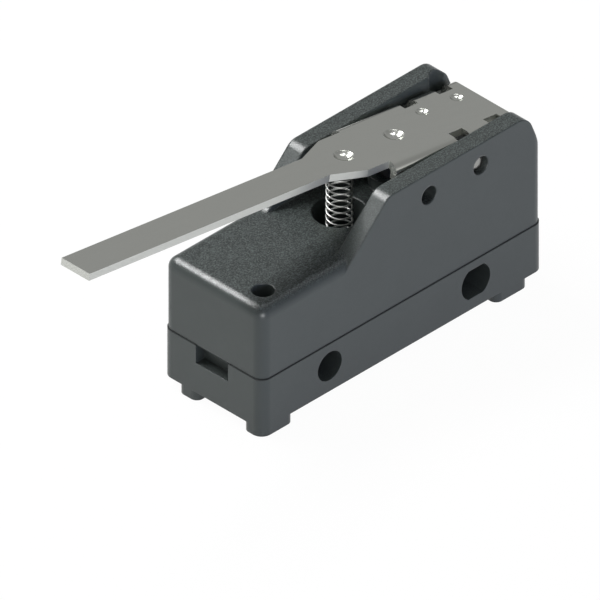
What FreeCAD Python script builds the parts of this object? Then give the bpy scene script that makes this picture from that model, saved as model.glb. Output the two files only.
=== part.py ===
import FreeCAD, Part
import math
import os

V = FreeCAD.Vector

# Bench axes: x from the front face of the base, y from mid-width (near side negative), z from the feet.
# Each part is moved at the end, so that the centre of the round mounting hole is the origin.

# Case: base and cover
case_length = 49.1
case_width = 17.3
corner_r = 1.5
base_top = 8.5
cover_inset = 0.1
deck_height = 18.95
deck_thickness = 1.6
cover_wall = 1.6
deck_edge_r = 1.5
slide_fit = 0.05

# Feet: flush at the near front corner, set in from the rear and from the far side
foot_height = 1.4
foot_length = 5.6
foot_width = 3.3
foot_inset = 2.75
foot_corner_r = 1.0

# Mounting holes through the base, along y, as far from the front as from the rear
hole_inset = 11.85
hole_height = 5.17
hole_r = 2.08
flat_hole_r = 2.475
flat_hole_height = 4.22

# Pry slots under the cover's edge, at both ends
pry_width = 5.6
pry_height = 2.7
pry_depth = 1.55

# Ears: ramp in front, slant at the rear
ear_over_pivot = 3.25
ear_thickness = 2.5
ramp_before_pivot = 22.41
ramp_angle = 45.0
ramp_top_r = 2.0
ramp_foot_r = 1.5
ear_rear_slant = 2.7
ear_rear_r = 2.5

# Pivot
pivot_from_rear = 10.9
pivot_over_deck = 3.2
pivot_r = 1.25
pivot_seat_gap = 0.02
pivot_sink = 0.45
pivot_dome = 0.35
spare_pivot_pitch = 9.0
spare_pivot_r = 1.285

# Cover screws, at two opposite corners
screw_front = (3.68, 3.42)
screw_rear = (4.05, 3.35)
screw_bore_r = 1.45
screw_head_r = 1.35
screw_head_height = 1.2
screw_thread_r = 0.8
screw_thread_play = 0.02
screw_under_deck = 6.65
screw_bite = 3.9
screw_pilot_spare = 0.6
screw_column_wall = 0.75
screw_slot_width = 0.4
screw_slot_depth = 0.5

# Lever: one sheet, along s from the pivot (rear positive) and h square to it
lever_tilt = 8.13
lever_press = 10.0
sheet = 1.0
lever_top = 2.69
strip_half = 2.44
tip_s = -62.9
flare_start_s = -20.7
flare_end_s = -15.9
flare_half = 4.33
channel_front_s = -12.15
channel_rear_s = 8.8
channel_side_gap = 0.35
bend_inner_r = 0.2
leg_front_h = 0.1
leg_step_front_s = -5.2
leg_step_rear_s = -2.8
leg_corner_r = 1.0
rest_gap = 0.03
leg_hole_play = 0.05
notch_half = 3.77
notch_width = 2.35
notch_centres = (-0.08, 6.0)
notch_floor_h = 1.62
big_dimple_r = 1.35
big_dimple_depth = 0.6
big_dimple_bump = 0.5
big_bump_r = 0.95
spring_dimple_s = -15.86
press_dimple_s = -7.03
small_dimple_r = 0.88
small_dimple_depth = 0.4
small_dimple_bump = 0.3
small_bump_r = 0.6
small_dimple_y = 2.0

# Return spring and its well in the deck
well_before_pivot = 16.05
well_r = 3.45
well_wall = 0.9
well_over_blade = 0.45
spring_outer_r = 1.76
spring_wire_r = 0.15
spring_pitch = 0.94
spring_gap = 0.02
spigot_gap = 0.2
spigot_height = 1.4

# Plunger and its guide in the cover
plunger_r = 1.7
plunger_play = 0.05
guide_play = 0.05
guide_wall = 1.3
guide_collar_height = 1.65
guide_bottom_gap = 0.1
plunger_flange_r = 2.5
plunger_flange_height = 1.2
plunger_foot = 0.6
plunger_dome = 0.3
plunger_foot_dome = 0.15

# Terminals: a plate in a pocket under the base, a riser and a strap of the same sheet
terminal_sheet = 0.7
terminal_bend_r = 0.15
pocket_under_top = 3.1
pocket_y = -1.0
pocket_width = 6.2
pocket_gap = 0.15
strap_half = 2.0
plate_length = 6.2
common_riser_x = 8.4
open_riser_before_contact = 15.95
closed_riser_from_rear = 2.55
common_over_blade = 0.85
strap_overhang = 2.2

# Terminal screws with their clamp plates
clamp_thickness = 0.8
clamp_side = 5.2
clamp_lip = 0.35
stud_r = 1.5
stud_play = 0.02
stud_relief_r = 1.75
stud_reach = 2.2
stud_relief_depth = 2.5
terminal_head_r = 2.5
terminal_head_height = 1.9
terminal_slot_width = 0.7
terminal_slot_depth = 0.9
riser_to_screw = 3.15

# Snap mechanism
blade_sheet = 0.25
blade_half = 2.5
blade_end_half = 2.0
blade_taper_length = 2.0
blade_shoulder_gap = 0.1
blade_overhang = 1.8
tab_half = 1.3
tab_length = 0.65
tab_play = 0.08
window_half = 1.35
window_before_anchor = 1.15
window_before_plunger = 3.8
tongue_half = 0.9
tongue_bow = 1.1
tongue_root = 0.7
tongue_gap = 0.15
tongue_drop = 0.5
contact_from_rear = 5.9
contact_r = 1.5
fixed_contact_r = 1.6
contact_neck_r = 0.9
contact_neck_play = 0.02
moving_tip = 0.6
open_tip = 0.5
closed_tip = 0.55
contact_edge = 0.12
touch_gap = 0.05
anchor_from_riser = 6.95
anchor_foot_depth = 1.3
anchor_foot_half = 2.5
anchor_shoulder = 1.0
anchor_neck_half = 0.95
rib_end_gap = 10.0
rib_width = 0.9
rib_height = 0.9

# Worked out from the sizes above
case_half = case_width / 2
hole_front = hole_inset
hole_rear = case_length - hole_inset
pivot_x = case_length - pivot_from_rear
pivot_height = deck_height + pivot_over_deck
spare_pivot_x = pivot_x - spare_pivot_pitch
ear_top = pivot_height + ear_over_pivot
ear_rear_top = case_length - ear_rear_slant
ramp_foot = pivot_x - ramp_before_pivot
well_x = pivot_x - well_before_pivot
contact_x = case_length - contact_from_rear
closed_riser_x = case_length - closed_riser_from_rear
open_riser_x = contact_x - open_riser_before_contact
anchor_x = common_riser_x + anchor_from_riser
pocket_ceiling = base_top - pocket_under_top
screw_seat = deck_height - screw_under_deck
screw_bottom = base_top - screw_bite
cover_half = case_half - cover_inset
cover_rear = case_length - cover_inset
ear_inner = cover_half - ear_thickness
cavity_half = cover_half - cover_wall
ceiling = deck_height - deck_thickness
channel_half = ear_inner - channel_side_gap
tilt = math.radians(lever_tilt)
press = math.radians(lever_press)
screw_front_xy = (screw_front[0], screw_front[1] - case_half)
screw_rear_xy = (case_length - screw_rear[0], case_half - screw_rear[1])
spring_mean_r = spring_outer_r - spring_wire_r
leg_hole_r = pivot_r + leg_hole_play
guide_r = plunger_r + guide_play
plate_top = pocket_ceiling
plate_bottom = pocket_ceiling - terminal_sheet
eps = 0.01


def dome_r(mouth_r, depth):
    """Radius of the ball whose cap has this mouth radius and depth."""
    return (mouth_r ** 2 + depth ** 2) / (2 * depth)


def lever_point(s, h, pressed):
    """Bench x and z of a point of the lever, turned down from rest by the angle pressed."""
    angle = tilt - pressed
    return (
        pivot_x + s * math.cos(angle) + h * math.sin(angle),
        pivot_height - s * math.sin(angle) + h * math.cos(angle),
    )


# The pressing dimple is a ball on the lever's underside, and the plunger follows the ball's lowest point
press_ball_r = dome_r(big_bump_r, big_dimple_bump)
press_ball_h = lever_top - sheet - big_dimple_bump + press_ball_r
press_rest = lever_point(press_dimple_s, press_ball_h, 0)
press_full = lever_point(press_dimple_s, press_ball_h, press)
plunger_x = (press_rest[0] + press_full[0]) / 2
plunger_top = press_rest[1] - press_ball_r - plunger_play
plunger_travel = press_rest[1] - press_full[1]

# The blade turns far enough for the plunger, and the contacts leave room for its whole swing
blade_hinge_x = common_riser_x
blade_turn = plunger_travel / (plunger_x - blade_hinge_x)
contact_drop = blade_turn * (contact_x - blade_hinge_x + contact_r)
open_top = base_top + terminal_sheet + open_tip
blade_bottom = open_top + 2 * touch_gap + contact_drop + moving_tip
blade_top = blade_bottom + blade_sheet
closed_bottom = blade_top + moving_tip + touch_gap
closed_strap_z = closed_bottom + closed_tip + terminal_sheet / 2
common_riser_top = blade_top + common_over_blade
plunger_bottom = blade_top + plunger_play
flange_top = plunger_bottom + plunger_foot + plunger_flange_height
guide_bottom = flange_top + guide_bottom_gap
well_floor = blade_top + well_over_blade + well_wall
window_front_x = anchor_x - window_before_anchor
window_rear_x = plunger_x - window_before_plunger


def rounded_corner(before, here, after, radius):
    """Start, middle and end of the arc that rounds one corner of an outline."""
    back = (before - here).normalize()
    on = (after - here).normalize()
    half = back.getAngle(on) / 2
    run = radius / math.tan(half)
    middle = here + (back + on).normalize() * (radius / math.sin(half) - radius)
    return here + back * run, middle, here + on * run


def prism(corners, across, low, high):
    """Solid with the outline corners (a, b, radius), square to the axis named across."""
    places = {
        "x": lambda p: V(low, p.x, p.y),
        "y": lambda p: V(p.x, low, p.y),
        "z": lambda p: V(p.x, p.y, low),
    }
    ways = {"x": V(1, 0, 0), "y": V(0, 1, 0), "z": V(0, 0, 1)}
    place = places[across]
    points = [V(a, b, 0) for a, b, radius in corners]
    edges = []
    ends = []
    for i, (a, b, radius) in enumerate(corners):
        if radius:
            start, middle, end = rounded_corner(points[i - 1], points[i], points[(i + 1) % len(points)], radius)
            edges.append(Part.Arc(place(start), place(middle), place(end)).toShape())
            ends.append((start, end))
        else:
            ends.append((points[i], points[i]))
    for i in range(len(ends)):
        start = ends[i - 1][1]
        end = ends[i][0]
        if (end - start).Length > 1e-6:
            edges.append(Part.makeLine(place(start), place(end)))
    wire = Part.Wire(Part.__sortEdges__(edges))
    return Part.Face(wire).extrude(ways[across] * (high - low))


def block(x0, x1, y0, y1, z0, z1):
    return Part.makeBox(x1 - x0, y1 - y0, z1 - z0, V(x0, y0, z0))


def upright(radius, x, y, z0, z1):
    return Part.makeCylinder(radius, z1 - z0, V(x, y, z0))


def crosswise(radius, x, z, half):
    return Part.makeCylinder(radius, 2 * half, V(x, -half, z), V(0, 1, 0))


def rounded_block(x0, x1, y0, y1, z0, z1, radius):
    corners = [(x0, y0, radius), (x1, y0, radius), (x1, y1, radius), (x0, y1, radius)]
    return prism(corners, "z", z0, z1)


def bent_sheet(path, thickness, inner_r, half_width):
    """Sheet bent along the (x, z) mid-line path, with its bends rounded inside and out."""
    points = [V(x, z, 0) for x, z in path]
    left = []
    right = []
    for i, point in enumerate(points):
        ahead = (points[i + 1] - point).normalize() if i + 1 < len(points) else None
        behind = (point - points[i - 1]).normalize() if i else None
        into = behind or ahead
        out = ahead or behind
        normal_in = V(-into.y, into.x, 0)
        normal_out = V(-out.y, out.x, 0)
        offset = (normal_in + normal_out) * (thickness / 2 / (1 + normal_in.dot(normal_out)))
        turn = into.cross(out).z
        inside = inner_r if turn else 0
        outside = inner_r + thickness if turn else 0
        at_left = point + offset
        at_right = point - offset
        left.append((at_left.x, at_left.y, inside if turn > 0 else outside))
        right.append((at_right.x, at_right.y, outside if turn > 0 else inside))
    return prism(left + right[::-1], "y", -half_width, half_width)


def joined(first, *others):
    return first.multiFuse(list(others)).removeSplitter()


def without(shape, *tools):
    return shape.cut(list(tools))


def mounting_holes():
    round_hole = crosswise(hole_r, hole_front, hole_height, case_half + 1)
    rear_x = hole_rear
    wide = crosswise(flat_hole_r, rear_x, hole_height, case_half + 1)
    band = block(
        rear_x - flat_hole_r - 1,
        rear_x + flat_hole_r + 1,
        -case_half - 1,
        case_half + 1,
        hole_height - flat_hole_height / 2,
        hole_height + flat_hole_height / 2,
    )
    return [round_hole, wide.common(band)]


def feet():
    """Four feet: the pattern sits toward the near front corner of the case."""
    fronts = (0, case_length - foot_inset - foot_length)
    nears = (-case_half, case_half - foot_inset - foot_width)
    found = []
    for x in fronts:
        for y in nears:
            found.append(
                rounded_block(x, x + foot_length, y, y + foot_width, 0, foot_height + eps, foot_corner_r)
            )
    return found


def pry_slots():
    floor = base_top - pry_height
    half = pry_width / 2
    front = block(-1, pry_depth, -half, half, floor, base_top + 1)
    rear = block(case_length - pry_depth, case_length + 1, -half, half, floor, base_top + 1)
    return [front, rear]


def terminal_pocket(riser_x):
    """Pocket for one terminal's plate, screw and riser."""
    rear = riser_x + terminal_sheet / 2 + pocket_gap
    front = rear - plate_length - 2 * pocket_gap
    y0 = pocket_y - pocket_width / 2
    y1 = pocket_y + pocket_width / 2
    pocket = rounded_block(front, rear, y0, y1, -1, pocket_ceiling, pocket_gap)
    gap = terminal_sheet / 2 + pocket_gap
    riser_slot = block(
        riser_x - gap, riser_x + gap, -strap_half - slide_fit, strap_half + slide_fit, plate_bottom, base_top + 1
    )
    relief = upright(stud_relief_r, riser_x - riser_to_screw, pocket_y, plate_bottom, plate_top + stud_relief_depth)
    return [pocket, riser_slot, relief]


def anchor_slot():
    half_sheet = terminal_sheet / 2
    return block(
        anchor_x - half_sheet,
        anchor_x + half_sheet,
        -anchor_foot_half,
        anchor_foot_half,
        base_top - anchor_foot_depth,
        base_top + 1,
    )


def make_base():
    body = rounded_block(0, case_length, -case_half, case_half, foot_height, base_top, corner_r)
    outline = rounded_block(0, case_length, -case_half, case_half, 0, base_top, corner_r)
    body = joined(body, *[foot.common(outline) for foot in feet()])
    rib_outer = cavity_half - slide_fit
    rib_end = case_length - rib_end_gap
    ribs = [
        block(rib_end_gap, rib_end, rib_outer - rib_width, rib_outer, base_top - eps, base_top + rib_height),
        block(rib_end_gap, rib_end, -rib_outer, rib_width - rib_outer, base_top - eps, base_top + rib_height),
    ]
    body = joined(body, *ribs)
    cuts = mounting_holes() + pry_slots() + [anchor_slot()]
    for riser_x in (common_riser_x, open_riser_x, closed_riser_x):
        cuts += terminal_pocket(riser_x)
    for x, y in (screw_front_xy, screw_rear_xy):
        cuts.append(upright(screw_thread_r, x, y, screw_bottom - screw_pilot_spare, base_top + 1))
    return without(body, *cuts)


def front_body():
    """Front of the cover, with its deck edges and front corners rounded."""
    rear = pivot_x
    body = block(cover_inset, rear, -cover_half, cover_half, base_top, deck_height)
    rounded = []
    for edge in body.Edges:
        box = edge.BoundBox
        on_front = box.XMax < cover_inset + eps
        on_top = box.ZMin > deck_height - eps
        on_side = abs(box.YMin) > cover_half - eps and box.YLength < eps
        if (on_front and on_top) or (on_front and on_side) or (on_top and on_side):
            rounded.append(edge)
    return body.makeFillet(deck_edge_r, rounded)


def ramp_x(z):
    """Where the ramp, carried on down past the deck, has the height z."""
    return ramp_foot + (z - deck_height) / math.tan(math.radians(ramp_angle))


def ear_body():
    """Both ears and the case below them, before the gap between the ears is cut."""
    low = deck_height - deck_edge_r
    side = [
        (ramp_x(low), base_top, 0),
        (ramp_x(low), low, 0),
        (ramp_x(ear_top), ear_top, ramp_top_r),
        (ear_rear_top, ear_top, ear_rear_r),
        (cover_rear, deck_height, 0),
        (cover_rear, base_top, 0),
    ]
    profile = prism(side, "y", -cover_half, cover_half)
    plan = rounded_block(cover_inset, cover_rear, -cover_half, cover_half, base_top, ear_top, corner_r)
    return profile.common(plan)


def ramp_blend(y0, y1):
    """Hollow rounding where the deck turns up into the ramp."""
    turn = math.radians(ramp_angle)
    run = ramp_foot_r * math.tan(turn / 2)
    start = V(ramp_foot - run, y0, deck_height)
    corner = V(ramp_foot, y0, deck_height)
    end = V(ramp_foot + run * math.cos(turn), y0, deck_height + run * math.sin(turn))
    centre = V(ramp_foot - run, y0, deck_height + ramp_foot_r)
    middle = centre + V(math.sin(turn / 2), 0, -math.cos(turn / 2)) * ramp_foot_r
    edges = [Part.makeLine(start, corner), Part.makeLine(corner, end), Part.Arc(end, middle, start).toShape()]
    return Part.Face(Part.Wire(edges)).extrude(V(0, y1 - y0, 0))


def cover_cavity():
    """Inside of the cover, with its bosses left standing."""
    cavity = rounded_block(
        cover_inset + cover_wall,
        cover_rear - cover_wall,
        -cavity_half,
        cavity_half,
        base_top - 1,
        ceiling,
        cover_wall / 2,
    )
    bosses = [
        upright(well_r + well_wall, well_x, 0, well_floor - well_wall, ceiling),
        upright(guide_r + guide_wall, plunger_x, 0, guide_bottom, ceiling),
    ]
    for x, y in (screw_front_xy, screw_rear_xy):
        bosses.append(upright(screw_bore_r + screw_column_wall, x, y, base_top - 1, ceiling))
    return without(cavity, *bosses)


def make_cover():
    body = joined(front_body(), ear_body())
    gap = block(ramp_foot - 2, case_length + 1, -ear_inner, ear_inner, deck_height, ear_top + 1)
    body = without(body, gap, cover_cavity())
    collar = upright(guide_r + guide_wall - slide_fit, plunger_x, 0, ceiling, deck_height + guide_collar_height)
    blend_outer = cover_half - deck_edge_r
    blends = [ramp_blend(ear_inner, blend_outer), ramp_blend(-blend_outer, -ear_inner)]
    body = joined(body, collar, *blends)
    cuts = [
        upright(well_r, well_x, 0, well_floor, ear_top),
        upright(guide_r, plunger_x, 0, guide_bottom - 1, ear_top),
        crosswise(pivot_r + pivot_seat_gap, pivot_x, pivot_height, case_half),
        crosswise(spare_pivot_r, spare_pivot_x, pivot_height, case_half),
    ]
    for x, y in (screw_front_xy, screw_rear_xy):
        cuts.append(upright(screw_bore_r, x, y, screw_seat, ear_top + 1))
        cuts.append(upright(screw_thread_r + slide_fit, x, y, base_top - 1, screw_seat))
    body = without(body, *cuts)
    spigot_r = spring_outer_r - 2 * spring_wire_r - spigot_gap
    return joined(body, upright(spigot_r, well_x, 0, well_floor - well_wall / 2, well_floor + spigot_height))


def make_cover_screw(x, y):
    shank = upright(screw_thread_r - screw_thread_play, x, y, screw_bottom, screw_seat)
    head = upright(screw_head_r, x, y, screw_seat, screw_seat + screw_head_height)
    top = screw_seat + screw_head_height
    slot = block(
        x - screw_head_r, x + screw_head_r, y - screw_slot_width / 2, y + screw_slot_width / 2,
        top - screw_slot_depth, top + 1,
    )
    return without(joined(shank, head), slot)


def lever_legs_h():
    """Underside of the legs, set so that their rear corner rests on the deck."""
    corner_s = channel_rear_s - leg_corner_r
    over_deck = pivot_height - corner_s * math.sin(tilt) - leg_corner_r - rest_gap - deck_height
    return -over_deck / math.cos(tilt) - leg_corner_r


def lever_channel():
    """Full-width rear of the lever: a plate with both sides bent down into legs."""
    outer_r = bend_inner_r + sheet
    under = lever_legs_h() - 1
    outer = [
        (-channel_half, under, 0),
        (-channel_half, lever_top, outer_r),
        (channel_half, lever_top, outer_r),
        (channel_half, under, 0),
        (channel_half - sheet, under, 0),
        (channel_half - sheet, lever_top - sheet, bend_inner_r),
        (sheet - channel_half, lever_top - sheet, bend_inner_r),
        (sheet - channel_half, under, 0),
    ]
    section = prism(outer, "x", channel_front_s, channel_rear_s)
    legs_h = lever_legs_h()
    side = [
        (channel_front_s, lever_top, 0),
        (channel_front_s, leg_front_h, leg_corner_r / 2),
        (leg_step_front_s, leg_front_h, leg_corner_r),
        (leg_step_rear_s, legs_h, leg_corner_r),
        (channel_rear_s, legs_h, leg_corner_r),
        (channel_rear_s, lever_top, 0),
    ]
    return section.common(prism(side, "y", -channel_half - 1, channel_half + 1))


def lever_strip():
    """Flat strip from the tip, widening to meet the channel."""
    plan = [
        (tip_s, -strip_half, 0),
        (flare_start_s, -strip_half, 0),
        (flare_end_s, -flare_half, 0),
        (channel_front_s + sheet, -flare_half, 0),
        (channel_front_s + sheet, flare_half, 0),
        (flare_end_s, flare_half, 0),
        (flare_start_s, strip_half, 0),
        (tip_s, strip_half, 0),
    ]
    return prism(plan, "z", lever_top - sheet, lever_top)


def dimple(s, y, mouth_r, depth, bump_r, bump):
    """Ball to press into the top face, and the cap that it raises on the underside."""
    ball_r = dome_r(mouth_r, depth)
    hollow = Part.makeSphere(ball_r, V(s, y, lever_top - depth + ball_r))
    cap_r = dome_r(bump_r, bump)
    underside = lever_top - sheet
    cap = Part.makeSphere(cap_r, V(s, y, underside - bump + cap_r))
    keep = block(s - cap_r, s + cap_r, y - cap_r, y + cap_r, underside - bump - 1, underside + eps)
    return hollow, cap.common(keep)


def notches():
    """Windows through the bends, over the pivot and near the rear end."""
    found = []
    for centre in notch_centres:
        front = centre - notch_width / 2
        rear = centre + notch_width / 2
        found.append(block(front, rear, notch_half, channel_half + 1, notch_floor_h, lever_top + 1))
        found.append(block(front, rear, -channel_half - 1, -notch_half, notch_floor_h, lever_top + 1))
    return found


def make_lever():
    dimples = [
        dimple(spring_dimple_s, 0, big_dimple_r, big_dimple_depth, big_bump_r, big_dimple_bump),
        dimple(press_dimple_s, 0, big_dimple_r, big_dimple_depth, big_bump_r, big_dimple_bump),
    ]
    for centre in notch_centres:
        dimples.append(
            dimple(centre, small_dimple_y, small_dimple_r, small_dimple_depth, small_bump_r, small_dimple_bump)
        )
    body = joined(lever_strip(), lever_channel(), *[cap for hollow, cap in dimples])
    cuts = [hollow for hollow, cap in dimples] + notches()
    cuts.append(crosswise(leg_hole_r, 0, 0, case_half))
    body = without(body, *cuts)
    body.rotate(V(0, 0, 0), V(0, 1, 0), lever_tilt)
    body.translate(V(pivot_x, 0, pivot_height))
    return body


def make_pivot_pin():
    end = cover_half - pivot_sink
    ball_r = dome_r(pivot_r, pivot_dome)
    pin = crosswise(pivot_r, pivot_x, pivot_height, end)
    for side in (-1, 1):
        ball = Part.makeSphere(ball_r, V(pivot_x, side * (end - ball_r), pivot_height))
        span = block(
            pivot_x - pivot_r, pivot_x + pivot_r,
            min(0, side * end), max(0, side * end),
            pivot_height - pivot_r, pivot_height + pivot_r,
        )
        waste = block(
            pivot_x - ball_r, pivot_x + ball_r,
            min(side * (end - pivot_dome), side * (end + 1)), max(side * (end - pivot_dome), side * (end + 1)),
            pivot_height - ball_r, pivot_height + ball_r,
        )
        pin = without(pin, waste.cut(ball.common(span)))
    return pin


def spring_top():
    """Height of the lever's underside over the rear edge of the spring."""
    reach = (well_x + spring_outer_r - pivot_x) * math.tan(tilt)
    return pivot_height + (lever_top - sheet) / math.cos(tilt) - reach - spring_gap


def make_return_spring():
    """Left-handed coils of six-sided wire, from the well's floor up to the lever."""
    low = well_floor + spring_wire_r
    height = spring_top() - spring_wire_r - low
    turns = round(height / spring_pitch)
    corners = []
    for i in range(6):
        angle = math.radians(30 + 60 * i)
        corners.append(V(spring_mean_r + spring_wire_r * math.cos(angle), 0, spring_wire_r * math.sin(angle)))
    section = Part.makePolygon(corners + corners[:1])
    helix = Part.Wire(Part.makeHelix(height / turns, height, spring_mean_r))
    coils = helix.makePipeShell([section], True, True).mirror(V(0, 0, 0), V(0, 1, 0))
    coils.translate(V(well_x, 0, low))
    return coils


def make_plunger():
    shaft = upright(plunger_r, plunger_x, 0, plunger_bottom, plunger_top)
    top_r = dome_r(plunger_r, plunger_dome)
    foot_r = dome_r(plunger_r, plunger_foot_dome)
    top_ball = Part.makeSphere(top_r, V(plunger_x, 0, plunger_top - top_r))
    foot_ball = Part.makeSphere(foot_r, V(plunger_x, 0, plunger_bottom + foot_r))
    middle = upright(
        plunger_r + 1, plunger_x, 0, plunger_bottom + plunger_foot_dome, plunger_top - plunger_dome
    )
    upper = upright(plunger_r + 1, plunger_x, 0, plunger_top - plunger_dome - eps, plunger_top + 1)
    under = upright(plunger_r + 1, plunger_x, 0, plunger_bottom - 1, plunger_bottom + plunger_foot_dome + eps)
    shaft = shaft.common(joined(middle, top_ball.common(upper), foot_ball.common(under)))
    flange = upright(plunger_flange_r, plunger_x, 0, flange_top - plunger_flange_height, flange_top)
    return joined(shaft, flange)


def terminal_plate(riser_x):
    """Flat part in the pocket, tapped for the terminal screw."""
    rear = riser_x + terminal_sheet / 2
    y0 = pocket_y - pocket_width / 2 + pocket_gap
    return block(rear - plate_length, rear - terminal_sheet, y0, strap_half, plate_bottom, plate_top)


def tapped_hole(riser_x):
    return upright(stud_r, riser_x - riser_to_screw, pocket_y, plate_bottom - 1, plate_top + 1)


def terminal(riser_x, path_on, *cuts):
    """Plate, riser and strap of one terminal: path_on carries the mid-line on from the riser's foot."""
    mid = (plate_top + plate_bottom) / 2
    path = [(riser_x - riser_to_screw, mid), (riser_x, mid)] + path_on
    strap = bent_sheet(path, terminal_sheet, terminal_bend_r, strap_half)
    return without(joined(terminal_plate(riser_x), strap), tapped_hole(riser_x), *cuts)


def make_common_terminal():
    mid = (blade_bottom + blade_top) / 2
    reach = blade_sheet / 2 + tab_play
    slot = block(
        common_riser_x - terminal_sheet, common_riser_x + terminal_sheet,
        -tab_half - tab_play, tab_half + tab_play, mid - reach, mid + reach,
    )
    return terminal(common_riser_x, [(common_riser_x, common_riser_top)], slot)


def make_open_terminal():
    strap_z = base_top + terminal_sheet / 2
    hole = upright(contact_neck_r, contact_x, 0, base_top - 1, open_top)
    return terminal(open_riser_x, [(open_riser_x, strap_z), (contact_x + strap_overhang, strap_z)], hole)


def make_closed_terminal():
    hole = upright(contact_neck_r, contact_x, 0, closed_bottom, closed_strap_z + terminal_sheet)
    path_on = [(closed_riser_x, closed_strap_z), (contact_x - strap_overhang, closed_strap_z)]
    return terminal(closed_riser_x, path_on, hole)


def make_clamp_plate(riser_x):
    """Square washer under the screw's head, with two edges turned up to keep the wire."""
    x = riser_x - riser_to_screw
    half = clamp_side / 2
    low = plate_bottom - clamp_thickness
    plate = block(x - half, x + half, pocket_y - half, pocket_y + half, low, plate_bottom)
    groove = block(
        x - half - 1, x + half + 1, pocket_y - half + clamp_lip, pocket_y + half - clamp_lip,
        plate_bottom - clamp_lip, plate_bottom + 1,
    )
    pad = upright(stud_relief_r + clamp_lip, x, pocket_y, low, plate_bottom)
    hole = upright(stud_r + slide_fit, x, pocket_y, low - 1, plate_bottom + 1)
    return without(joined(without(plate, groove), pad), hole)


def make_terminal_screw(riser_x):
    x = riser_x - riser_to_screw
    seat = plate_bottom - clamp_thickness
    stud = upright(stud_r - stud_play, x, pocket_y, seat, plate_top + stud_reach)
    head = upright(terminal_head_r, x, pocket_y, seat - terminal_head_height, seat)
    low = seat - terminal_head_height
    slot = block(
        x - terminal_head_r, x + terminal_head_r,
        pocket_y - terminal_slot_width / 2, pocket_y + terminal_slot_width / 2,
        low - 1, low + terminal_slot_depth,
    )
    return without(joined(stud, head), slot)


def bowed_tongue():
    """Tongue that bows down from the window's rear edge and bears on the anchor."""
    mid = (blade_bottom + blade_top) / 2
    free_x = anchor_x + terminal_sheet / 2 + tongue_gap
    start = V(window_rear_x + tongue_root, 0, mid)
    end = V(free_x, 0, mid - tongue_drop)
    middle = (start + end) * 0.5 - V(0, 0, tongue_bow)
    circle = Part.Arc(start, middle, end).toShape().Curve
    centre = circle.Center
    faces = []
    for radius in (circle.Radius - blade_sheet / 2, circle.Radius + blade_sheet / 2):
        points = [centre + (point - centre).normalize() * radius for point in (start, middle, end)]
        faces.append((Part.Arc(*points).toShape(), points[0], points[2]))
    inner, inner_start, inner_end = faces[0]
    outer, outer_start, outer_end = faces[1]
    edges = [inner, Part.makeLine(inner_end, outer_end), outer, Part.makeLine(outer_start, inner_start)]
    profile = Part.Face(Part.Wire(Part.__sortEdges__(edges)))
    profile.translate(V(0, -tongue_half, 0))
    return profile.extrude(V(0, 2 * tongue_half, 0))


def make_snap_blade():
    """Moving blade: a frame round its tongue, with a tab that rocks in the common terminal."""
    shoulder = common_riser_x + terminal_sheet / 2 + blade_shoulder_gap
    tab_front = common_riser_x - terminal_sheet / 2 - tab_length
    end = contact_x + blade_overhang
    taper = end - blade_overhang - blade_taper_length - contact_r
    plan = [
        (shoulder, -blade_half, 0),
        (taper, -blade_half, 0),
        (taper + blade_taper_length, -blade_end_half, 0),
        (end, -blade_end_half, blade_end_half / 2),
        (end, blade_end_half, blade_end_half / 2),
        (taper + blade_taper_length, blade_end_half, 0),
        (taper, blade_half, 0),
        (shoulder, blade_half, 0),
    ]
    frame = prism(plan, "z", blade_bottom, blade_top)
    tab = block(tab_front, shoulder + eps, -tab_half, tab_half, blade_bottom, blade_top)
    window = block(window_front_x, window_rear_x, -window_half, window_half, blade_bottom - 1, blade_top + 1)
    hole = upright(contact_neck_r, contact_x, 0, blade_bottom - 1, blade_top + 1)
    return joined(without(joined(frame, tab), window, hole), bowed_tongue())


def make_blade_anchor():
    mid = (blade_bottom + blade_top) / 2
    outline = [
        (-anchor_foot_half, base_top - anchor_foot_depth, 0),
        (anchor_foot_half, base_top - anchor_foot_depth, 0),
        (anchor_foot_half, base_top + anchor_shoulder, 0),
        (anchor_neck_half, base_top + anchor_shoulder, 0),
        (anchor_neck_half, mid, 0),
        (-anchor_neck_half, mid, 0),
        (-anchor_neck_half, base_top + anchor_shoulder, 0),
        (-anchor_foot_half, base_top + anchor_shoulder, 0),
    ]
    return prism(outline, "x", anchor_x - terminal_sheet / 2, anchor_x + terminal_sheet / 2)


def contact_head(radius, z0, z1, face):
    """Contact button, with the edge of its working face (0 below, 1 above) broken."""
    button = upright(radius, contact_x, 0, z0, z1)
    level = z1 if face else z0
    rim = [edge for edge in button.Edges if abs(edge.BoundBox.ZMax - level) < eps and edge.BoundBox.ZLength < eps]
    return button.makeChamfer(contact_edge, rim)


def make_moving_contact():
    neck = upright(contact_neck_r - contact_neck_play, contact_x, 0, blade_bottom - eps, blade_top + eps)
    lower = contact_head(contact_r, blade_bottom - moving_tip, blade_bottom, 0)
    upper = contact_head(contact_r, blade_top, blade_top + moving_tip, 1)
    return joined(neck, lower, upper)


def make_open_contact():
    strap_top = base_top + terminal_sheet
    neck = upright(contact_neck_r - contact_neck_play, contact_x, 0, base_top + contact_neck_play, strap_top + eps)
    return joined(neck, contact_head(fixed_contact_r, strap_top, open_top, 1))


def make_closed_contact():
    strap_bottom = closed_bottom + closed_tip
    neck_top = strap_bottom + terminal_sheet
    neck = upright(contact_neck_r - contact_neck_play, contact_x, 0, strap_bottom - eps, neck_top)
    return joined(neck, contact_head(fixed_contact_r, closed_bottom, strap_bottom, 0))


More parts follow.
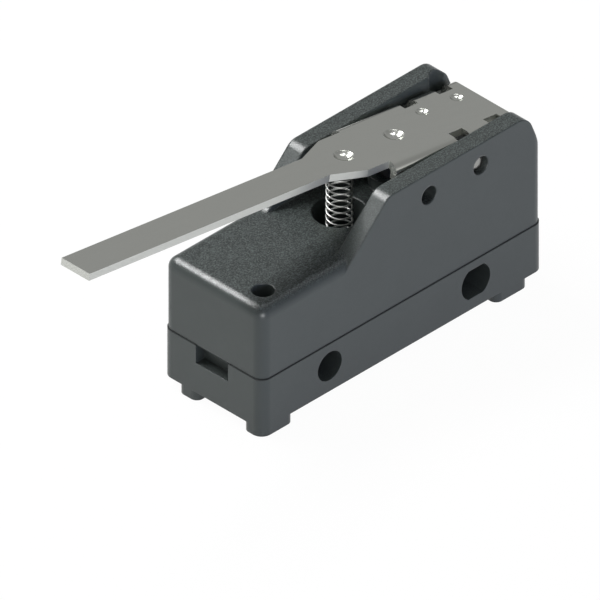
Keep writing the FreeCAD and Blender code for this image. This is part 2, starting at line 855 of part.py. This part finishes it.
def write_parts():
    os.makedirs("parts", exist_ok=True)
    parts = {
        "base": make_base(),
        "cover": make_cover(),
        "cover_screw_front": make_cover_screw(*screw_front_xy),
        "cover_screw_rear": make_cover_screw(*screw_rear_xy),
        "lever": make_lever(),
        "pivot_pin": make_pivot_pin(),
        "lever_return_spring": make_return_spring(),
        "plunger": make_plunger(),
        "common_terminal": make_common_terminal(),
        "normally_open_terminal": make_open_terminal(),
        "normally_closed_terminal": make_closed_terminal(),
        "snap_blade": make_snap_blade(),
        "blade_anchor": make_blade_anchor(),
        "moving_contact": make_moving_contact(),
        "normally_open_contact": make_open_contact(),
        "normally_closed_contact": make_closed_contact(),
    }
    risers = {"common": common_riser_x, "normally_open": open_riser_x, "normally_closed": closed_riser_x}
    for name, riser_x in risers.items():
        parts[name + "_terminal_screw"] = make_terminal_screw(riser_x)
        parts[name + "_clamp_plate"] = make_clamp_plate(riser_x)
    for name, shape in parts.items():
        shape.translate(V(-hole_front, 0, -hole_height))
        shape.exportStep("parts/" + name + ".step")
        print(name, "solids", len(shape.Solids), "valid", shape.isValid(), "volume", round(shape.Volume, 2))


write_parts()
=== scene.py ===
import math

import bmesh
import bpy
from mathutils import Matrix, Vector


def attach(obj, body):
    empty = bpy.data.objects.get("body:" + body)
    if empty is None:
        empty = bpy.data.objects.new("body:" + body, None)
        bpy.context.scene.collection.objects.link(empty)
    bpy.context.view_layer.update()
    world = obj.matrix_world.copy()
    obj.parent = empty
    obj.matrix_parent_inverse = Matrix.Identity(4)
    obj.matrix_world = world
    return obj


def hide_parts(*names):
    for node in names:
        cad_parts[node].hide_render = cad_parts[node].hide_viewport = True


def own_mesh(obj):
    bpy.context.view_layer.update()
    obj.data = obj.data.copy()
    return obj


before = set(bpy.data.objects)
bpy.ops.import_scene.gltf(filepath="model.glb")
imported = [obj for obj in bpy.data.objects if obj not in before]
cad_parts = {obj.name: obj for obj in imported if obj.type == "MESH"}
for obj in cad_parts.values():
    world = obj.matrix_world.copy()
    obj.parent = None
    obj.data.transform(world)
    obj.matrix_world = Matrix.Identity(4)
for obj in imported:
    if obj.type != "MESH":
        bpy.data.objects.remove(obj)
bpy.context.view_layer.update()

MM = 0.001
WHITE = (1.0, 1.0, 1.0, 1.0)

# Row frame: the centre of the round mounting hole is the origin
FLOOR_Z = -5.17 * MM
PARTING_Z = 3.33 * MM

# The photograph's camera: a true isometric view
VIEW_CENTRE = Vector((12.52, 9.055, -5.17)) * MM
VIEW_FROM = Vector((-1.0, -1.0, 1.0)).normalized()
VIEW_WIDTH = 73.77 * MM
VIEW_DISTANCE = 0.6
CLIP_START = 0.01
CLIP_END = 5.0

# Studio surround: its level at the horizon and overhead, and the heights between which it changes
HORIZON_LEVEL = 0.86
OVERHEAD_LEVEL = 0.45
HORIZON_TOP = 0.08
OVERHEAD_FROM = 0.34

# Directions in which the surround is darker. The first one darkens the horizon alone.
DARK_BACK = Vector((0.8, 0.6, 0.0))
BACK_LEVEL = 0.2
DARK_SIDE = Vector((0.55, -0.60, 0.58)).normalized()
SIDE_SHARE = 0.8
DARK_FRONT = Vector((-0.80, 0.55, 0.24)).normalized()
FRONT_SHARE = 0.5

# Floor: half its width, its own colour, and how white it looks to the camera and in gloss
FLOOR_HALF = 1.2
FLOOR_COLOUR = (0.86, 0.86, 0.86, 1.0)
FLOOR_GLOW = 0.97

# Lamps
LAMP_TARGET = Vector((12.0, 0.0, 8.0)) * MM
SUN_SPREAD = math.radians(40.0)
NEAR_COLOUR = (0.62, 0.67, 1.0)
STRIP_CENTRE = Vector((0.24, 0.0, 0.93))
STRIP_STEP = Vector((0.07, -0.07, 0.0))

# Moulded plastic: noise scales per metre, depth of the grain and its share on upright sides
FINE_GRAIN = 5200.0
COARSE_GRAIN = 1300.0
PLASTIC_MOTTLE = 160.0
GRAIN_DEPTH = 0.022 * MM
SIDE_GRAIN = 0.06
PLASTIC_GLOSS = 0.35
CASE_GREY = (0.047, 0.056, 0.054)
PLUNGER_GREY = (0.03, 0.031, 0.033)

# Parting line between base and cover, darkened with painted shade: half widths of its dark core, its
# shade and its dull band
SEAM_PAINTED_SHADE = (0.012, 0.013, 0.014, 1.0)
SEAM_CORE = 0.05 * MM
SEAM_SHADE = 0.16 * MM
SEAM_DULL = 0.20 * MM

# Lever sheet: its tilt at rest, and the half width of the strip of it that holds the dimples
SHEET_TILT = math.radians(-8.13)
SHEET_STREAKS = 1500.0
SHEET_CLOUDS = 120.0
DIMPLES_WITHIN = 3.1 * MM
NO_DIMPLES_FROM = 3.5 * MM
DIMPLE_EDGE = 0.2 * MM
METAL_RELIEF = 0.01 * MM
METAL_EDGE = 0.06 * MM

# Return spring
WELL_X = 10.3 * MM
WELL_FLOOR_Z = 8.73 * MM
SPRING_TOP_Z = 20.7 * MM
SPRING_R = 1.61 * MM
WIRE_R = 0.13 * MM
SPRING_TURNS = 13.8
CLOSED_TURNS = 1.0
CLOSED_PITCH = 1.02
SPRING_START = math.radians(188.1)
SPRING_STEPS = 36
WIRE_SIDES = 12


class Nodes:
    """The node tree of a new material or world, with short calls for the nodes used here."""

    def __init__(self, owner):
        owner.use_nodes = True
        self.owner = owner
        self.tree = owner.node_tree
        self.tree.nodes.clear()

    def add(self, kind, inputs=None, **settings):
        node = self.tree.nodes.new(kind)
        for key, value in settings.items():
            setattr(node, key, value)
        for key, value in (inputs or {}).items():
            self.put(node.inputs[key], value)
        return node

    def put(self, socket, value):
        if isinstance(value, bpy.types.NodeSocket):
            self.tree.links.new(value, socket)
        else:
            socket.default_value = value

    def math(self, operation, a, b=0.0, clamp=False):
        node = self.add("ShaderNodeMath", {0: a, 1: b}, operation=operation, use_clamp=clamp)
        return node.outputs[0]

    def ramp(self, value, low, high, to_low=0.0, to_high=1.0):
        node = self.add(
            "ShaderNodeMapRange",
            {"Value": value, "From Min": low, "From Max": high, "To Min": to_low, "To Max": to_high},
        )
        return node.outputs["Result"]

    def mix(self, factor, a, b):
        node = self.add("ShaderNodeMix", {0: factor, 6: a, 7: b}, data_type="RGBA")
        return node.outputs[2]

    def mix_vectors(self, factor, a, b):
        node = self.add("ShaderNodeMix", {0: factor, 4: a, 5: b}, data_type="VECTOR")
        return node.outputs[1]

    def dot(self, vector, direction):
        node = self.add("ShaderNodeVectorMath", {0: vector, 1: direction}, operation="DOT_PRODUCT")
        return node.outputs["Value"]

    def noise(self, scale, detail, stretch=(1, 1, 1), rotation=(0, 0, 0)):
        where = self.add("ShaderNodeTexCoord").outputs["Object"]
        turned = self.add("ShaderNodeMapping", {"Vector": where, "Rotation": rotation, "Scale": stretch})
        noise = self.add(
            "ShaderNodeTexNoise", {"Vector": turned.outputs[0], "Scale": scale, "Detail": detail}
        )
        return noise.outputs["Fac"]

    def soft_edges(self, radius):
        return self.add("ShaderNodeBevel", {"Radius": radius}, samples=8).outputs[0]

    def bump(self, height, strength, distance, normal):
        node = self.add(
            "ShaderNodeBump",
            {"Height": height, "Strength": strength, "Distance": distance, "Normal": normal},
        )
        return node.outputs[0]

    def surface_normal(self):
        return self.add("ShaderNodeNewGeometry").outputs["Normal"]

    def facing(self, axis):
        """How far the surface faces along one axis of the row, from -1 to 1."""
        return self.add("ShaderNodeSeparateXYZ", {0: self.surface_normal()}).outputs[axis]

    def place(self, axis):
        """Where the point lies along one axis of its object, in metres."""
        where = self.add("ShaderNodeTexCoord").outputs["Object"]
        return self.add("ShaderNodeSeparateXYZ", {0: where}).outputs[axis]

    def finish(self, **inputs):
        names = {key.replace("_", " "): value for key, value in inputs.items()}
        shader = self.add("ShaderNodeBsdfPrincipled", names)
        self.add("ShaderNodeOutputMaterial", {"Surface": shader.outputs[0]})
        return self.owner


def scaled(colour, factor):
    return tuple(c * factor for c in colour) + (1.0,)


def moulded(name, colour, grain, roughness, edge_radius):
    """Dark moulded plastic: fine grain on what faces up, smoother sides and a dull parting line darkened
    with painted shade.
    """
    n = Nodes(bpy.data.materials.new(name))
    up = n.ramp(n.facing("Z"), 0.55, 0.98)
    fine = n.noise(FINE_GRAIN, 2.0)
    coarse = n.noise(COARSE_GRAIN, 2.0)
    mottle = n.noise(PLASTIC_MOTTLE, 3.0)
    base = n.mix(mottle, scaled(colour, 0.92), scaled(colour, 1.08))
    grained = n.math("MULTIPLY", up, grain, True)
    pits = n.math("MULTIPLY", n.ramp(fine, 0.52, 0.40), grained)
    base = n.mix(pits, base, scaled(colour, 0.35))
    peaks = n.math("MULTIPLY", n.ramp(fine, 0.56, 0.68), grained)
    base = n.mix(peaks, base, scaled(colour, 1.9))
    from_seam = n.math("ABSOLUTE", n.math("SUBTRACT", n.place("Z"), PARTING_Z))
    # Painted shade: the colour darkens towards the parting line between base and cover
    outside_seam_shade = n.ramp(from_seam, SEAM_CORE, SEAM_SHADE, 0.3, 1.0)
    base = n.mix(outside_seam_shade, SEAM_PAINTED_SHADE, base)
    relief = n.math("ADD", n.math("MULTIPLY", fine, 0.75), n.math("MULTIPLY", coarse, 0.25))
    relief = n.math("MULTIPLY", relief, n.ramp(up, 0.0, 1.0, SIDE_GRAIN, 1.0))
    normal = n.bump(relief, grain, GRAIN_DEPTH, n.soft_edges(edge_radius))
    rough = n.ramp(coarse, 0.3, 0.7, roughness - 0.04, roughness + 0.05)
    rough = n.math("MAXIMUM", rough, n.ramp(from_seam, SEAM_CORE, SEAM_DULL, 0.95, 0.0))
    return n.finish(Base_Color=base, Roughness=rough, Normal=normal, Specular_IOR_Level=PLASTIC_GLOSS)


def sheet_metal(name, colour, roughness, tilt, stretch):
    """Rolled sheet: a satin face with faint streaks, rounder dimples and duller sheared edges."""
    n = Nodes(bpy.data.materials.new(name))
    streaks = n.noise(SHEET_STREAKS, 3.0, stretch, (0, tilt, 0))
    clouds = n.noise(SHEET_CLOUDS, 2.0)
    marks = n.math("ADD", n.math("MULTIPLY", streaks, 0.6), n.math("MULTIPLY", clouds, 0.4))
    base = n.mix(marks, scaled(colour, 0.97), scaled(colour, 1.03))
    upward = n.math("ABSOLUTE", n.facing("Z"))
    on_edge = n.ramp(upward, 0.2, 0.05)
    across = n.math("ABSOLUTE", n.place("Y"))
    middle = n.ramp(across, DIMPLES_WITHIN, NO_DIMPLES_FROM, 1.0, 0.0)
    sloping = n.math("MULTIPLY", n.ramp(upward, 0.975, 0.945), n.ramp(upward, 0.2, 0.4))
    pressed = n.math("MULTIPLY", sloping, middle)
    shape = n.mix_vectors(pressed, n.surface_normal(), n.soft_edges(DIMPLE_EDGE))
    dull = n.math("MAXIMUM", on_edge, n.math("MULTIPLY", pressed, 0.35))
    rough = n.ramp(dull, 0.0, 1.0, roughness, roughness * 2.0)
    metallic = n.ramp(on_edge, 0.0, 1.0, 1.0, 0.7)
    rolled = n.math("MULTIPLY", streaks, n.math("SUBTRACT", 1.0, on_edge))
    normal = n.bump(rolled, 0.03, METAL_RELIEF, shape)
    return n.finish(Base_Color=base, Roughness=rough, Metallic=metallic, Normal=normal)


def bright_metal(name, colour, roughness, scale=900.0, stretch=(1, 1, 1)):
    """Bright metal with small marks in its colour, gloss and relief, drawn out where it is rolled."""
    n = Nodes(bpy.data.materials.new(name))
    marks = n.noise(scale, 4.0, stretch)
    base = n.mix(marks, scaled(colour, 0.88), scaled(colour, 1.0))
    rough = n.ramp(marks, 0.3, 0.7, roughness * 0.85, roughness * 1.2)
    normal = n.bump(marks, 0.06, METAL_RELIEF, n.soft_edges(METAL_EDGE))
    return n.finish(Base_Color=base, Roughness=rough, Metallic=1.0, Normal=normal)


def paint(node, material):
    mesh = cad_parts[node].data
    mesh.materials.clear()
    mesh.materials.append(material)


def tube(points, radius, sides):
    """Closed tube of round wire along the points, as one mesh with capped ends."""
    mesh = bmesh.new()
    rings = []
    for i, point in enumerate(points):
        ahead = points[min(i + 1, len(points) - 1)] - points[max(i - 1, 0)]
        ahead.normalize()
        out = Vector((0, 0, 1)).cross(ahead).normalized()
        up = ahead.cross(out)
        ring = []
        for k in range(sides):
            turn = 2 * math.pi * k / sides
            ring.append(mesh.verts.new(point + (out * math.cos(turn) + up * math.sin(turn)) * radius))
        rings.append(ring)
    for near, far in zip(rings, rings[1:]):
        for k in range(sides):
            mesh.faces.new((near[k], near[(k + 1) % sides], far[(k + 1) % sides], far[k]))
    mesh.faces.new(rings[0][::-1])
    mesh.faces.new(rings[-1])
    bmesh.ops.recalc_face_normals(mesh, faces=mesh.faces)
    return mesh


def place_mesh(name, mesh, material):
    data = bpy.data.meshes.new(name)
    mesh.to_mesh(data)
    mesh.free()
    piece = bpy.data.objects.new(name, data)
    bpy.context.scene.collection.objects.link(piece)
    data.materials.append(material)
    for face in data.polygons:
        face.use_smooth = True
    return piece


def spring_points():
    """Compression coil with its two end turns wound close."""
    low = WELL_FLOOR_Z + WIRE_R
    high = SPRING_TOP_Z - WIRE_R
    closed_rise = 2 * WIRE_R * CLOSED_PITCH
    open_turns = SPRING_TURNS - 2 * CLOSED_TURNS
    open_rise = high - low - 2 * closed_rise
    points = []
    count = int(SPRING_TURNS * SPRING_STEPS)
    for i in range(count + 1):
        turn = i / SPRING_STEPS
        if turn < CLOSED_TURNS:
            z = low + closed_rise * turn / CLOSED_TURNS
        elif turn < SPRING_TURNS - CLOSED_TURNS:
            z = low + closed_rise + open_rise * (turn - CLOSED_TURNS) / open_turns
        else:
            z = high - closed_rise * (SPRING_TURNS - turn) / CLOSED_TURNS
        angle = SPRING_START - 2 * math.pi * turn
        points.append(Vector((WELL_X + SPRING_R * math.cos(angle), SPRING_R * math.sin(angle), z)))
    return points


def make_spring(material):
    spring = place_mesh("return_spring", tube(spring_points(), WIRE_R, WIRE_SIDES), material)
    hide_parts("lever_return_spring")
    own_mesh(spring)
    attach(spring, "housing")


def finish_nodes():
    """Give every CAD node its material, and return the spring's, which its scene piece shares."""
    case = moulded("case_plastic", CASE_GREY, grain=0.3, roughness=0.34, edge_radius=0.08 * MM)
    cover = moulded("cover_plastic", CASE_GREY, grain=1.0, roughness=0.34, edge_radius=0.35 * MM)
    lever = sheet_metal("lever_sheet", (0.535, 0.545, 0.51), 0.15, SHEET_TILT, stretch=(0.03, 1, 1))
    pin = bright_metal("pin_steel", (0.33, 0.33, 0.32), 0.28)
    wire = bright_metal("spring_wire", (0.40, 0.41, 0.395), 0.42, 1500.0)
    push = moulded("plunger_plastic", PLUNGER_GREY, grain=0.1, roughness=0.35, edge_radius=0.1 * MM)
    brass = bright_metal("terminal_brass", (0.72, 0.56, 0.30), 0.28, 1200.0, stretch=(0.1, 1, 1))
    blade = bright_metal("blade_alloy", (0.74, 0.50, 0.32), 0.25, 1200.0, stretch=(0.05, 1, 1))
    silver = bright_metal("contact_silver", (0.8, 0.8, 0.78), 0.2)
    plated = bright_metal("screw_plating", (0.62, 0.62, 0.60), 0.3)
    finishes = {
        "base": case,
        "cover": cover,
        "lever": lever,
        "pivot_pin": pin,
        "plunger": push,
        "snap_blade": blade,
        "blade_anchor": brass,
        "common_terminal": brass,
        "normally_open_terminal": brass,
        "normally_closed_terminal": brass,
        "moving_contact": silver,
        "normally_open_contact": silver,
        "normally_closed_contact": silver,
        "lever_return_spring": wire,
    }
    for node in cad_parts:
        paint(node, finishes.get(node, plated))
    return wire


def make_world():
    """Studio surround: pale at the horizon, half as bright overhead, and white to the camera."""
    world = bpy.data.worlds.new("studio")
    bpy.context.scene.world = world
    n = Nodes(world)
    toward = n.add("ShaderNodeTexCoord").outputs["Generated"]
    height = n.add("ShaderNodeSeparateXYZ", {0: toward}).outputs["Z"]
    horizon = n.ramp(n.dot(toward, DARK_BACK), 0.55, 0.85, HORIZON_LEVEL, BACK_LEVEL)
    level = n.ramp(height, HORIZON_TOP, OVERHEAD_FROM, horizon, OVERHEAD_LEVEL)
    side = n.ramp(n.dot(toward, DARK_SIDE), 0.70, 0.95, 1.0, SIDE_SHARE)
    level = n.math("MULTIPLY", level, side)
    front = n.ramp(n.dot(toward, DARK_FRONT), 0.60, 0.90, 1.0, FRONT_SHARE)
    level = n.math("MULTIPLY", level, front)
    seen = n.add("ShaderNodeLightPath").outputs["Is Camera Ray"]
    level = n.math("MAXIMUM", level, seen)
    light = n.add("ShaderNodeBackground", {"Color": WHITE, "Strength": level})
    n.add("ShaderNodeOutputWorld", {"Surface": light.outputs[0]})


def make_floor():
    """Pale floor that photographs and mirrors as white, and keeps a trace of the part's shadow."""
    mesh = bmesh.new()
    bmesh.ops.create_grid(mesh, x_segments=1, y_segments=1, size=FLOOR_HALF)
    n = Nodes(bpy.data.materials.new("studio_floor"))
    diffuse = n.add("ShaderNodeBsdfDiffuse", {"Color": FLOOR_COLOUR})
    glow = n.add("ShaderNodeEmission", {"Color": WHITE, "Strength": 1.0})
    path = n.add("ShaderNodeLightPath")
    behind = n.ramp(n.place("Y"), 0.06, 0.2, 1.0, 0.3)
    ahead = n.ramp(n.place("X"), -0.06, -0.01, 0.8, 1.0)
    mirrored = n.math("MULTIPLY", path.outputs["Is Glossy Ray"], n.math("MULTIPLY", behind, ahead))
    seen = n.math("MAXIMUM", path.outputs["Is Camera Ray"], mirrored)
    share = n.math("MULTIPLY", seen, FLOOR_GLOW)
    mix = n.add("ShaderNodeMixShader", {0: share, 1: diffuse.outputs[0], 2: glow.outputs[0]})
    n.add("ShaderNodeOutputMaterial", {"Surface": mix.outputs[0]})
    floor = place_mesh("studio_floor", mesh, n.owner)
    floor.location = (0, 0, FLOOR_Z)


def add_lamp(name, direction, distance, power, size=None, colour=WHITE[:3], matte=True, gloss=True):
    """Lamp that looks at the part: a softbox of a size, or else a wide even light from far away."""
    data = bpy.data.lights.new(name, "AREA" if size else "SUN")
    data.energy = power
    data.color = colour
    if size:
        data.shape = "RECTANGLE"
        data.size, data.size_y = size
    else:
        data.angle = SUN_SPREAD
    lamp = bpy.data.objects.new(name, data)
    bpy.context.scene.collection.objects.link(lamp)
    aim = Vector(direction).normalized()
    lamp.location = LAMP_TARGET + aim * distance
    lamp.rotation_euler = aim.to_track_quat("Z", "Y").to_euler()
    lamp.visible_diffuse = matte
    lamp.visible_glossy = gloss


def make_lights():
    """A key softbox behind, a weak cool light on the near side, and softboxes seen only in gloss."""
    add_lamp("key_box", (-0.15, 0.577, 0.80), 0.5, 2.95, size=(0.34, 0.15))
    add_lamp("key_shine", (-0.28, 0.577, 0.77), 0.5, 1.85, size=(0.30, 0.12), matte=False)
    add_lamp("near_light", (0.0, -1.0, 0.02), 2.0, 2.1, colour=NEAR_COLOUR, gloss=False)
    add_lamp("camera_box", (-0.54, -0.74, 0.14), 0.9, 8.0, size=(0.44, 0.50), matte=False)
    for side in (-1, 1):
        toward = STRIP_CENTRE + STRIP_STEP * side
        add_lamp(f"overhead_strip_{side}", toward, 0.5, 0.2, size=(0.03, 0.22), matte=False)


def make_camera():
    data = bpy.data.cameras.new("photo_camera")
    data.type = "ORTHO"
    data.ortho_scale = VIEW_WIDTH
    data.clip_start = CLIP_START
    data.clip_end = CLIP_END
    camera = bpy.data.objects.new("photo_camera", data)
    bpy.context.scene.collection.objects.link(camera)
    camera.location = VIEW_CENTRE + VIEW_FROM * VIEW_DISTANCE
    camera.rotation_euler = VIEW_FROM.to_track_quat("Z", "Y").to_euler()
    bpy.context.scene.camera = camera


bpy.context.scene.view_settings.view_transform = "Standard"
make_camera()
make_world()
make_floor()
make_lights()
make_spring(finish_nodes())
